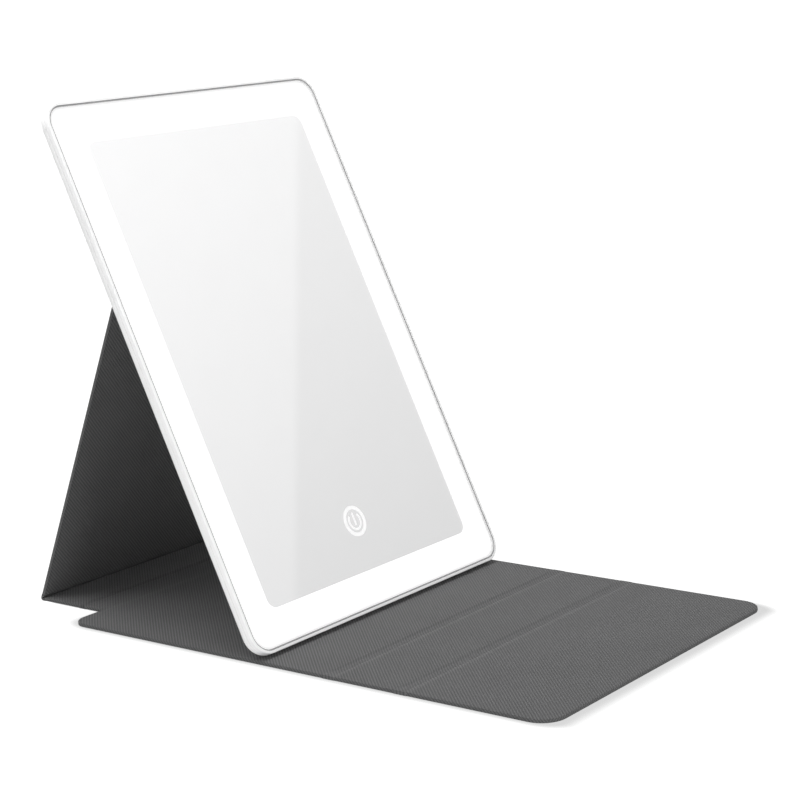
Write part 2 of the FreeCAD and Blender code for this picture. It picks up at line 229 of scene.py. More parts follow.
@dataclass(frozen=True)
class TwillWeave:
    """Twill weave: diagonal ridges crossed by single threads and loose fibres."""

    ridge: float = 0.56
    thread: float = 0.17
    fibre: float = 0.1
    threads: float = 4.0
    fibre_scale: float = 5200.0
    patch_scale: float = 38.0
    patch_tone: float = 0.035

    def build(self) -> bpy.types.NodeTree:
        """Return the node group, with the cloth's height and its tone about 1."""
        graph, takes, gives = shader_group(
            "twill_weave",
            {"Cut": "NodeSocketVector", "Repeat": "NodeSocketFloat", "Contrast": "NodeSocketFloat"},
            {"Height": "NodeSocketFloat", "Tone": "NodeSocketFloat"})
        turns = graph.math("DIVIDE", 2 * math.pi, takes["Repeat"])

        def wave(direction: Colour, times: float) -> Socket:
            phase = graph.math("MULTIPLY", graph.dot(takes["Cut"], direction), turns)
            swing = graph.math("SINE", graph.math("MULTIPLY", phase, times))
            return graph.spread(swing, -1.0, 1.0, 0.0, 1.0)

        parts = (
            (wave((1.0, -1.0, 0.0), 1.0), self.ridge),
            (wave((1.0, 0.0, 0.0), self.threads), self.thread),
            (wave((0.0, 1.0, 0.0), self.threads), self.thread),
            (graph.noise(takes["Cut"], self.fibre_scale, NOISE_DETAIL), self.fibre),
        )
        height = 0.0
        for part, share in parts:
            height = graph.math("ADD", height, graph.math("MULTIPLY", part, share))
        graph.feed(gives["Height"], height)
        swing = graph.math("MULTIPLY", graph.math("SUBTRACT", height, 0.5), takes["Contrast"])
        patch = graph.noise(takes["Cut"], self.patch_scale, NOISE_DETAIL)
        cloud = graph.spread(patch, *NOISE_RANGE, -self.patch_tone, self.patch_tone)
        graph.feed(gives["Tone"], graph.math("ADD", graph.math("ADD", swing, cloud), 1.0))
        return graph.tree


def grain_group() -> bpy.types.NodeTree:
    """Build the fine grain of moulded, rolled and pressed surfaces.

    Returns:
        The node group, with the grain's height and a slow patchiness, both from 0 to 1.
    """
    graph, takes, gives = shader_group(
        "fine_grain",
        {"Place": "NodeSocketVector", "Scale": "NodeSocketFloat"},
        {"Height": "NodeSocketFloat", "Patch": "NodeSocketFloat"})
    slow_scale = graph.math("MULTIPLY", takes["Scale"], SLOW_SHARE)
    graph.feed(gives["Height"], graph.noise(takes["Place"], takes["Scale"], NOISE_DETAIL))
    slow = graph.noise(takes["Place"], slow_scale)
    graph.feed(gives["Patch"], graph.spread(slow, *NOISE_RANGE, 0.0, 1.0))
    return graph.tree


class Groups:
    """Shared shader node groups, each built once."""

    def __init__(self) -> None:
        """Build the weave and the grain."""
        self.weave = TwillWeave().build()
        self.grain = grain_group()


def grain_node(graph: Graph, groups: Groups, scale: float) -> Node:
    """Add the shared grain in the object's own coordinates and return its node."""
    node = graph.add("ShaderNodeGroup", node_tree=groups.grain)
    graph.fill(node, {"Place": graph.add("ShaderNodeTexCoord").outputs["Object"], "Scale": scale})
    return node


def new_material(name: str) -> tuple[Material, Graph, Node]:
    """Start a material with a Principled shader.

    Args:
        name: the material's name.

    Returns:
        The material, its graph and its shader node.
    """
    material = bpy.data.materials.new(name)
    material.use_nodes = True
    material.node_tree.nodes.clear()
    graph = Graph(material.node_tree)
    shader = graph.add("ShaderNodeBsdfPrincipled")
    output = graph.add("ShaderNodeOutputMaterial")
    graph.feed(output.inputs["Surface"], shader.outputs["BSDF"])
    return material, graph, shader


def raise_relief(graph: Graph, shader: Node, height: Value, depth: float, strength: float) -> None:
    """Turn a height into the shader's normal.

    Args:
        graph: the material's graph.
        shader: the shader that takes the normal.
        height: the relief, from 0 to 1.
        depth: how deep the relief is, in metres.
        strength: how much of it shows.
    """
    bump = graph.add("ShaderNodeBump")
    graph.fill(bump, {"Strength": strength, "Distance": depth, "Height": height})
    graph.feed(shader.inputs["Normal"], bump.outputs["Normal"])


@dataclass(frozen=True)
class TwillFinish:
    """Dark woven cloth with 45 degree twill ridges, and painted lines across it: lighter ones are painted
    highlight, darker ones painted shade.
    """

    name: str
    colour: Colour
    repeat: float = 1.63 * MM
    contrast: float = 0.95
    depth: float = 0.2 * MM
    roughness: float = 0.82
    sheen: float = 0.06
    painted_lines: tuple[tuple[float, float], ...] = ()
    painted_line_reach: float = 1.5 * MM
    rough_hollow: float = 0.08
    rough_ridge: float = -0.06
    specular: float = 0.25
    relief: float = 0.6

    def build(self, groups: Groups) -> Material:
        """Return the cloth's material, made from the shared weave."""
        material, graph, shader = new_material(self.name)
        cut = graph.add("ShaderNodeUVMap", uv_map="cut").outputs[0]
        weave = graph.add("ShaderNodeGroup", node_tree=groups.weave)
        graph.fill(weave, {"Cut": cut, "Repeat": self.repeat, "Contrast": self.contrast})
        tone = weave.outputs["Tone"]
        along = graph.dot(cut, (0.0, 1.0, 0.0))
        # Each line paints light or shade into the tone: painted highlight where its tone change is
        # positive, painted shade where it is negative.
        for place, painted_tone in self.painted_lines:
            gap = graph.math("ABSOLUTE", graph.math("SUBTRACT", along, place))
            crease = graph.spread(gap, 0.0, self.painted_line_reach, painted_tone, 0.0, smooth=True)
            tone = graph.math("ADD", tone, crease)
        rough = graph.spread(weave.outputs["Height"], 0.0, 1.0, self.roughness + self.rough_hollow,
                             self.roughness + self.rough_ridge)
        graph.fill(shader, {"Base Color": graph.tint(self.colour, tone), "Roughness": rough,
                            "Sheen Weight": self.sheen, "Specular IOR Level": self.specular})
        raise_relief(graph, shader, weave.outputs["Height"], self.depth, self.relief)
        return material


@dataclass(frozen=True)
class GrainFinish:
    """Moulded, rolled or pressed surface with a fine grain and slight patchiness."""

    name: str
    colour: Colour
    roughness: float = 0.45
    spread: float = 0.08
    tone: float = 0.03
    scale: float = 2500.0
    depth: float = 0.02 * MM
    metallic: float = 0.0
    coat: float = 0.0
    specular: float = 0.5
    relief: float = 0.35

    def build(self, groups: Groups) -> Material:
        """Return the surface's material, made from the shared grain."""
        material, graph, shader = new_material(self.name)
        grain = grain_node(graph, groups, self.scale)
        tone = graph.spread(grain.outputs["Patch"], 0.0, 1.0, 1.0 - self.tone, 1.0 + self.tone)
        rough = graph.spread(grain.outputs["Height"], *NOISE_RANGE, self.roughness - self.spread,
                             self.roughness + self.spread)
        graph.fill(shader, {"Base Color": graph.tint(self.colour, tone), "Roughness": rough,
                            "Metallic": self.metallic, "Coat Weight": self.coat,
                            "Specular IOR Level": self.specular})
        raise_relief(graph, shader, grain.outputs["Height"], self.depth, self.relief)
        return material


@dataclass(frozen=True)
class LitFinish:
    """Frosted white surface lit evenly from behind."""

    name: str
    strength: float
    colour: Colour = (0.5, 0.5, 0.5)
    unevenness: float = 0.03
    scale: float = 90.0
    rim_shade: float = 0.7
    rim_share: float = 0.1
    roughness: tuple[float, float] = (0.45, 0.65)

    def build(self, groups: Groups) -> Material:
        """Return the glowing material, darker at the rim that a piece marks as shaded."""
        material, graph, shader = new_material(self.name)
        grain = grain_node(graph, groups, self.scale / SLOW_SHARE)
        glow = graph.spread(grain.outputs["Patch"], 0.0, 1.0, 1.0 - self.unevenness, 1.0)
        rim = graph.add("ShaderNodeAttribute", attribute_name=SHADED).outputs["Fac"]
        shade = graph.spread(rim, 1.0 - self.rim_share, 1.0, 1.0, self.rim_shade, smooth=True)
        glow = graph.tint((1.0, 1.0, 1.0), graph.math("MULTIPLY", glow, shade))
        rough = graph.spread(grain.outputs["Height"], *NOISE_RANGE, *self.roughness)
        graph.fill(shader, {"Emission Color": glow, "Emission Strength": self.strength,
                            "Base Color": (*self.colour, 1.0), "Roughness": rough})
        return material


@dataclass(frozen=True)
class PaneFinish:
    """Clear float glass with a faint polish haze."""

    name: str
    colour: Colour = (0.99, 0.99, 0.99)
    ior: float = 1.5
    scale: float = 600.0
    haze: float = 0.006

    def build(self, groups: Groups) -> Material:
        """Return the glass."""
        material, graph, shader = new_material(self.name)
        grain = grain_node(graph, groups, self.scale)
        rough = graph.spread(grain.outputs["Patch"], 0.0, 1.0, 0.0, self.haze)
        graph.fill(shader, {"Base Color": (*self.colour, 1.0), "Roughness": rough, "IOR": self.ior,
                            "Transmission Weight": 1.0})
        return material


class Palette:
    """Every finish of the object, built once and found by its name."""

    finishes = (
        TwillFinish("cover_skin", (0.086, 0.086, 0.087)),
        # The lining's lines: painted highlights just in front of the two grooves, and painted shade along
        # the neck crease.
        TwillFinish("cover_lining", (0.092, 0.092, 0.093),
                    painted_lines=((-40.6 * MM, 0.22), (-75.4 * MM, 0.22), (113.8 * MM, -0.3))),
        GrainFinish("white_plastic", (0.87, 0.87, 0.87), roughness=0.42, tone=0.015, scale=3600.0,
                    depth=0.012 * MM),
        PaneFinish("clear_glass"),
        GrainFinish("silvering", (0.95, 0.95, 0.952), roughness=0.003, spread=0.002, tone=0.004, depth=0.0,
                    metallic=1.0),
        LitFinish("opal_acrylic", 1.0),
        LitFinish("border_frost", 0.8),
        LitFinish("symbol_frost", 0.75),
        GrainFinish("edge_seal", (0.30, 0.30, 0.302), roughness=0.6, scale=1800.0),
        GrainFinish("tape", (0.045, 0.045, 0.046), roughness=0.8, tone=0.1, scale=1500.0, depth=0.05 * MM),
        GrainFinish("white_film", (0.88, 0.88, 0.88), roughness=0.5, scale=900.0),
        GrainFinish("led_strip", (0.84, 0.79, 0.58), roughness=0.5, tone=0.08, scale=700.0),
        GrainFinish("circuit_board", (0.03, 0.16, 0.07), roughness=0.32, tone=0.12, scale=500.0, coat=0.5),
        GrainFinish("foil", (0.74, 0.74, 0.76), roughness=0.3, spread=0.12, scale=400.0, depth=0.1 * MM,
                    metallic=1.0),
        GrainFinish("copper", (0.72, 0.42, 0.24), roughness=0.3, scale=1200.0, metallic=1.0),
        GrainFinish("steel", (0.58, 0.58, 0.6), roughness=0.3, spread=0.1, scale=1400.0, metallic=1.0),
        GrainFinish("magnet", (0.66, 0.66, 0.68), roughness=0.18, scale=900.0, metallic=1.0),
        GrainFinish("stiffener", (0.33, 0.31, 0.28), roughness=0.9, tone=0.12, scale=800.0,
                    depth=0.06 * MM),
    )

    def __init__(self) -> None:
        """Build the shared groups and every finish."""
        groups = Groups()
        self.materials = {finish.name: finish.build(groups) for finish in self.finishes}

    def __getitem__(self, name: str) -> Material:
        """Return the material of a finish."""
        return self.materials[name]


def rectangle(half: float, low: float, high: float, low_radius: float = 0.0,
              high_radius: float = 0.0) -> list[Corner]:
    """Return a panel's rectangular outline.

    Args:
        half: half its width.
        low: its lower end.
        high: its upper end.
        low_radius: corner radius at the lower end.
        high_radius: corner radius at the upper end.

    Returns:
        Four corners, counter-clockwise.
    """
    return [(-half, low, low_radius), (half, low, low_radius),
            (half, high, high_radius), (-half, high, high_radius)]


def ease(share: float) -> float:
    """Return a share from 0 to 1, eased in and out."""
    return share * share * (3.0 - 2.0 * share)


def bevel(bm: Mesh, geom: Iterable, radius: float, segments: int, affect: str = "EDGES",
          clamp: bool = True) -> None:
    """Round edges or corners off with an arc.

    Args:
        bm: the mesh.
        geom: the edges or vertices to round.
        radius: the arc's radius.
        segments: how many faces make the arc.
        affect: what is rounded, EDGES or VERTICES.
        clamp: stop where two roundings would meet.
    """
    bmesh.ops.bevel(bm, geom=list(geom), offset=radius, offset_type="OFFSET", segments=segments,
                    profile=0.5, affect=affect, material=-1, clamp_overlap=clamp)


def flat_face(bm: Mesh, outline: Iterable[Corner], inset: float = 0.0) -> Face:
    """Lay one flat face with rounded corners.

    Args:
        bm: an empty mesh.
        outline: corners as x, y and corner radius, counter-clockwise.
        inset: how far the whole outline is drawn in.

    Returns:
        The face.
    """
    corners = list(outline)
    verts = [bm.verts.new((x, y, 0.0)) for x, y, _ in corners]
    bm.faces.new(verts)
    for vert, (_, _, radius) in zip(verts, corners):
        if radius > 0.0:
            bevel(bm, [vert], radius, CORNER_STEPS, "VERTICES", clamp=False)
    bm.faces.ensure_lookup_table()
    face = bm.faces[0]
    face.normal_update()
    if inset > 0.0:
        ring = bmesh.ops.inset_region(bm, faces=[face], thickness=inset, use_boundary=True,
                                      use_even_offset=True)["faces"]
        bmesh.ops.delete(bm, geom=ring, context="FACES")
    return face


def add_flat(bm: Mesh, outline: Iterable[Corner]) -> None:
    """Add one flat face with rounded corners to a mesh that holds others."""
    part = bmesh.new()
    flat_face(part, outline)
    mesh = bpy.data.meshes.new("flat")
    part.to_mesh(mesh)
    part.free()
    bm.from_mesh(mesh)
    bpy.data.meshes.remove(mesh)


def thicken(bm: Mesh, faces: Iterable[Face], low: float,
            high: float) -> list[Face]:
    """Raise flat faces into a closed slab.

    Args:
        bm: the mesh.
        faces: the faces to raise; they end up at the low side.
        low: the slab's lower level.
        high: its upper level.

    Returns:
        The raised faces.
    """
    bmesh.ops.translate(bm, verts=bm.verts, vec=(0.0, 0.0, low))
    raised = bmesh.ops.extrude_face_region(bm, geom=list(faces), use_keep_orig=True)["geom"]
    moved = [item for item in raised if isinstance(item, Vert)]
    bmesh.ops.translate(bm, verts=moved, vec=(0.0, 0.0, high - low))
    bmesh.ops.recalc_face_normals(bm, faces=bm.faces)
    return [item for item in raised if isinstance(item, Face)]


def round_rim(bm: Mesh, faces: Iterable[Face], radius: float, segments: int) -> None:
    """Round the edges where flat faces meet the side walls."""
    chosen = set(faces)
    rim = [edge for edge in bm.edges if len(set(edge.link_faces) & chosen) == 1]
    bevel(bm, rim, radius, segments)


def level_faces(bm: Mesh, level: float) -> list[Face]:
    """Return the faces that lie flat at one level of a slab."""
    return [face for face in bm.faces if all(abs(vert.co.z - level) < EXACT for vert in face.verts)]


def lay_cut_map(bm: Mesh, turn: float = 1.0, along: float = 0.0) -> None:
    """Give each face its place in the flat cloth, in metres.

    Args:
        bm: the mesh, still in its flat frame.
        turn: -1 turns the twill's slant round.
        along: where the piece starts along the cloth.
    """
    facing_up = 0.55
    layer = bm.loops.layers.uv.new("cut")
    for face in bm.faces:
        normal = face.normal
        for loop in face.loops:
            x, y, z = loop.vert.co
            if abs(normal.z) > facing_up:
                place = (x * turn, y + along)
            elif abs(normal.x) > abs(normal.y):
                place = ((x + z) * turn, y + along)
            else:
                place = (x * turn, y + along + z)
            loop[layer].uv = place


def place_piece(name: str, bm: Mesh, material: Material, place: Matrix) -> Piece:
    """Turn a mesh under construction into an object at the origin.

    Args:
        name: the piece's name.
        bm: the finished mesh, in its own flat frame; it is freed.
        material: its finish.
        place: where its frame lies in the object.

    Returns:
        The new object, with its place in its mesh.
    """
    bmesh.ops.transform(bm, matrix=place, verts=bm.verts)
    mesh = bpy.data.meshes.new(name)
    bm.to_mesh(mesh)
    bm.free()
    mesh.polygons.foreach_set("use_smooth", [True] * len(mesh.polygons))
    mesh.set_sharp_from_angle(angle=SMOOTH_ANGLE)
    mesh.materials.append(material)
    piece = bpy.data.objects.new(name, mesh)
    bpy.context.scene.collection.objects.link(piece)
    LOG.info("piece %s: %d faces", name, len(mesh.polygons))
    return piece


@dataclass
class FoldPath:
    """Cross-section line of a fold, as points of y and z with one rounded bend."""

    start: tuple[float, float]
    corner: tuple[float, float]
    end: tuple[float, float]
    radius: float
    steps: int = 10

    def run(self, first: Vector, last: Vector) -> list[Vector]:
        """Return evenly spaced points of a straight run, without its last one."""
        return [first.lerp(last, step / self.steps) for step in range(self.steps)]

    def points(self) -> list[Vector]:
        """Return the line's points, with the bend as an arc."""
        corner = Vector((0.0, *self.corner))
        before = (Vector((0.0, *self.start)) - corner).normalized()
        after = (Vector((0.0, *self.end)) - corner).normalized()
        half = before.angle(after) / 2
        reach = self.radius / math.tan(half)
        centre = corner + (before + after).normalized() * (self.radius / math.sin(half))
        first = corner + before * reach - centre
        last = corner + after * reach - centre
        arc = [centre + first.slerp(last, step / self.steps).normalized() * self.radius
               for step in range(self.steps + 1)]
        lead_out = self.run(Vector((0.0, *self.end)), arc[-1])
        return self.run(Vector((0.0, *self.start)), arc[0]) + arc + lead_out[::-1]


@dataclass
class CoverSizes:
    """Sizes of the folding cover, in metres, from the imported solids."""

    thickness: float = 1.6 * MM
    skin: float = 0.4 * MM
    lining: float = 0.4 * MM
    rim: float = 0.8 * MM
    seam: float = 0.02 * MM
    butt: float = 0.01 * MM
    web: float = 1.0 * MM
    half: float = 82.5 * MM
    narrow: float = 63.3 * MM
    groove_half: float = 3.0 * MM
    crease_half: float = 2.0 * MM
    front_radius: float = 10.0 * MM
    rear_radius: float = 7.0 * MM
    mount_radius: float = 5.0 * MM
    mount_length: float = 52.0 * MM
    front_y: float = -139.7 * MM
    groove_b: float = -72.1 * MM
    groove_a: float = -37.5 * MM
    notch: float = 101.5 * MM
    crease: float = 114.1 * MM
    rear: float = 139.2 * MM
    apex: tuple[float, float] = (74.52 * MM, 157.097 * MM)
    fold_reach: float = 2.6 * MM
    fold_bend: float = 1.5 * MM
    rear_round: float = 0.62 * MM
    apex_round: float = 1.6 * MM
    top_round: float = 0.42 * MM
    low_round: float = 0.22 * MM
    hem_round: float = 0.05 * MM
    dip: float = 0.44 * MM
    slope: float = 1.6 * MM
    fade: float = 9.0 * MM

    @property
    def flap_length(self) -> float:
        """Length of the flap between its two fold axes."""
        return math.hypot(self.rear - self.apex[0], self.apex[1] - self.web / 2)

    @property
    def flap_angle(self) -> float:
        """Angle between the flap and the table."""
        return math.atan2(self.apex[1] - self.web / 2, self.rear - self.apex[0])

    def flap_place(self) -> Matrix:
        """Return where the flap's flat frame lies."""
        lift = Matrix.Translation((0.0, self.rear, self.web / 2))
        turn = Matrix.Rotation(math.pi - self.flap_angle, 4, "X")
        return lift @ turn @ Matrix.Translation((0.0, 0.0, -self.web / 2))


@dataclass
class MirrorSizes:
    """Sizes of the lit mirror panel, in metres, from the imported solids."""

    width: float = 170.0 * MM
    height: float = 237.9 * MM
    depth: float = 6.6 * MM
    corner: float = 9.5 * MM
    back_round: float = 3.8 * MM
    lean: float = math.radians(24.84)
    foot: tuple[float, float] = (-0.963 * MM, 5.7 * MM)
    hinge: float = 172.9 * MM
    lip: float = 1.2 * MM
    seal: float = 0.6 * MM
    seal_gap: float = 0.05 * MM
    seal_drop: float = 0.1 * MM
    seal_bed: float = 1.5 * MM
    seal_round: float = 0.2 * MM
    recess: float = 0.3 * MM
    glass: float = 1.0 * MM
    border: float = 16.0 * MM
    zone_radius: float = 4.5 * MM
    zone_drop: float = 0.9 * MM
    symbol_height: float = 37.9 * MM

    def place(self) -> Matrix:
        """Return where the mirror's own frame lies: X across, Y up the glass, Z out of the front."""
        stand = Matrix.Translation((0.0, *self.foot)) @ Matrix.Rotation(math.pi / 2 - self.lean, 4, "X")
        return stand @ Matrix.Translation((0.0, -self.back_round, self.depth - self.back_round))

    def outline(self, inset: float, radius: float, drop: float = 0.0) -> list[Corner]:
        """Return the panel's outline drawn in by an inset.

        Args:
            inset: distance from the outer edge.
            radius: corner radius.
            drop: how far the outline lies below the middle.

        Returns:
            Four corners, counter-clockwise.
        """
        side = self.width / 2 - inset
        return rectangle(side, inset - drop, self.height - inset - drop, radius, radius)


@dataclass
class Panel:
    """One laminated panel of the cover: a turned-edge skin and a lining on a stiffener board."""

    name: str
    body: Body
    outline: list[Corner]
    place: Matrix = field(default_factory=Matrix)
    folds: tuple[float, ...] = ()
    slant: float = 1.0
    along: float = 0.0
    lined: bool = True

    def drawn_out(self, reach: float) -> list[Corner]:
        """Return the outline with its fold sides moved outwards by a reach."""
        low, high = min(corner[1] for corner in self.outline), max(corner[1] for corner in self.outline)
        shift = {fold: reach if fold == high else -reach for fold in self.folds if fold in (low, high)}
        return [(x, y + shift.get(y, 0.0), radius) for x, y, radius in self.outline]

    def on_fold(self, edge: Edge, reach: float = 0.0) -> bool:
        """Tell whether an edge runs along a fold side, or along one moved outwards."""
        return any(all(abs(abs(vert.co.y - fold) - reach) < NEAR for vert in edge.verts)
                   for fold in self.folds)

    def cut_folds(self, bm: Mesh) -> None:
        """Cut the mesh off square at its fold sides and close the cuts."""
        middle = sum(corner[1] for corner in self.outline) / len(self.outline)
        for fold in self.folds:
            way = Vector((0.0, math.copysign(1.0, fold - middle), 0.0))
            cut = bmesh.ops.bisect_plane(bm, geom=[*bm.verts, *bm.edges, *bm.faces], dist=NEAR,
                                         plane_co=(0.0, fold, 0.0), plane_no=way, clear_outer=True)
            rim = [item for item in cut["geom_cut"] if isinstance(item, Edge)]
            bmesh.ops.contextual_create(bm, geom=rim)

    def finish(self, bm: Mesh, kind: str, node: str, cloth: str, palette: Palette) -> Piece:
        """Place a cloth on the panel and let it ride there.

        Args:
            bm: the cloth's mesh, in the panel's flat frame.
            kind: the end of the piece's name.
            node: the end of the name of the solid that it replaces.
            cloth: its finish and slot.
            palette: the finishes.

        Returns:
            The piece.
        """
        bmesh.ops.recalc_face_normals(bm, faces=bm.faces)
        lay_cut_map(bm, self.slant, self.along)
        piece = place_piece(f"{self.name}_{kind}", bm, palette[cloth], self.place)
        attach(piece, self.body.value)
        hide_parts(f"{self.name}_{node}")
        return piece

    def build_skin(self, sizes: CoverSizes, palette: Palette) -> None:
        """Make the woven tray that wraps the board's free edges and runs out at the folds."""
        bm = bmesh.new()
        face = flat_face(bm, self.drawn_out(sizes.rim))
        top = thicken(bm, [face], 0.0, sizes.thickness)
        free = [edge for edge in top[0].edges if not self.on_fold(edge, sizes.rim)]
        bmesh.ops.inset_region(bm, faces=top, thickness=sizes.rim, use_even_offset=True)
        sunk = bmesh.ops.extrude_face_region(bm, geom=top)["geom"]
        bmesh.ops.delete(bm, geom=top, context="FACES_ONLY")
        verts = [item for item in sunk if isinstance(item, Vert)]
        bmesh.ops.translate(bm, verts=verts, vec=(0.0, 0.0, sizes.skin - sizes.thickness))
        bevel(bm, free, sizes.top_round, TOP_STEPS)
        round_rim(bm, level_faces(bm, 0.0), sizes.low_round, HEM_STEPS)
        self.cut_folds(bm)
        piece = self.finish(bm, "skin", "outer_skin", "cover_skin", palette)

    def build_lining(self, sizes: CoverSizes, palette: Palette, webs: Sequence[Piece]) -> None:
        """Make the woven lining that lies inside the skin's rim and reaches to the folds.

        Args:
            sizes: the cover's sizes.
            palette: the finishes.
            webs: fold webs that go with this lining; not used.
        """
        bm = bmesh.new()
        inset = sizes.rim + sizes.seam
        face = flat_face(bm, self.drawn_out(inset), inset)
        top = thicken(bm, [face], sizes.thickness - sizes.lining, sizes.thickness)
        free = [edge for edge in top[0].edges if not self.on_fold(edge)]
        bevel(bm, free, sizes.hem_round, HEM_STEPS)
        piece = self.finish(bm, "inner_cloth", "lining", "cover_lining", palette)


@dataclass
class FoldWeb:
    """Strip of cloth that carries one fold of the cover."""

    name: str
    bodies: tuple[Body, Body]
    half: float
    line: list[Vector]
    start: Vector
    end: Vector
    dip: float
    slant: float = 1.0
    along: float = 0.0
    fade: float = 0.0

    def rise(self, index: int, sizes: CoverSizes, depth: float) -> float:
        """Return how far the cloth rises over the bare web.

        Args:
            index: which point of the line.
            sizes: the cover's sizes.
            depth: the share of the dip that is reached here across the cover.

        Returns:
            The rise at that point.
        """
        reach = min((self.line[index] - end).length for end in (self.line[0], self.line[-1]))
        share = min(reach / sizes.slope, 1.0)
        sunk = self.dip * depth * ease(share)
        return sizes.thickness - sizes.web - sizes.butt - sunk

    def travel(self, place: Vector) -> float:
        """Return how far along the line a place lies."""
        best, done, gone = math.inf, 0.0, 0.0
        for first, second in zip(self.line, self.line[1:]):
            step = second - first
            share = min(max((place - first).yz.dot(step.yz) / step.length_squared, 0.0), 1.0)
            off = (place - first - step * share).yz.length
            if off < best:
                best, done = off, gone + step.length * share
            gone += step.length
        return done

    def stations(self) -> list[tuple[float, float]]:
        """Return where across the cover the section stands, and its share of the dip."""
        if self.fade == 0.0:
            return [(-self.half, 1.0), (self.half, 1.0)]
        steps = [index / FADE_STEPS for index in range(FADE_STEPS + 1)]
        left = [(-self.half + self.fade * share, ease(share)) for share in steps]
        return left + [(-place, depth) for place, depth in reversed(left)]

    def section(self, bm: Mesh, upper: bmesh.types.BMLayerItem, place: float, depth: float,
                sizes: CoverSizes) -> list[Vert]:
        """Set one cross-section of the web.

        Args:
            bm: the mesh that takes it.
            upper: the layer that marks the upper side's corners.
            place: where it stands across the cover.
            depth: its share of the dip.
            sizes: the cover's sizes.

        Returns:
            The section's corners, in order.
        """
        low, high = [], []
        for index, point in enumerate(self.line):
            ahead = self.line[min(index + 1, len(self.line) - 1)]
            behind = self.line[max(index - 1, 0)]
            along = (ahead - behind).normalized()
            across = Vector((0.0, -along.z, along.y))
            spot = point + Vector((place, 0.0, 0.0))
            low.append(bm.verts.new(spot - across * (sizes.web / 2)))
            high.append(bm.verts.new(spot + across * (sizes.web / 2 + self.rise(index, sizes, depth))))
            high[-1][upper] = 1
        return low + high[::-1]

    def build(self, sizes: CoverSizes, palette: Palette) -> Piece:
        """Sweep the fold's cross-section across the cover.

        Args:
            sizes: the cover's sizes.
            palette: the finishes.

        Returns:
            The web.
        """
        bm = bmesh.new()
        upper = bm.verts.layers.int.new("upper")
        rings = [self.section(bm, upper, place, depth, sizes) for place, depth in self.stations()]
        for first, second in zip(rings, rings[1:]):
            for index, vert in enumerate(first):
                bm.faces.new((first[index - 1], vert, second[index], second[index - 1]))
        caps = [bm.faces.new(rings[0]), bm.faces.new(rings[-1][::-1])]
        rims = [edge for cap in caps for edge in cap.edges if all(vert[upper] for vert in edge.verts)]
        bm.verts.layers.int.remove(upper)
        bevel(bm, rims, sizes.top_round, TOP_STEPS, clamp=False)
        bmesh.ops.recalc_face_normals(bm, faces=bm.faces)
        layer = bm.loops.layers.uv.new("cut")
        for face in bm.faces:
            for loop in face.loops:
                co = loop.vert.co
                loop[layer].uv = (co.x * self.slant, self.along + self.travel(co))
        piece = place_piece(self.name, bm, palette["cover_lining"], Matrix())
        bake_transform(piece)
        return piece


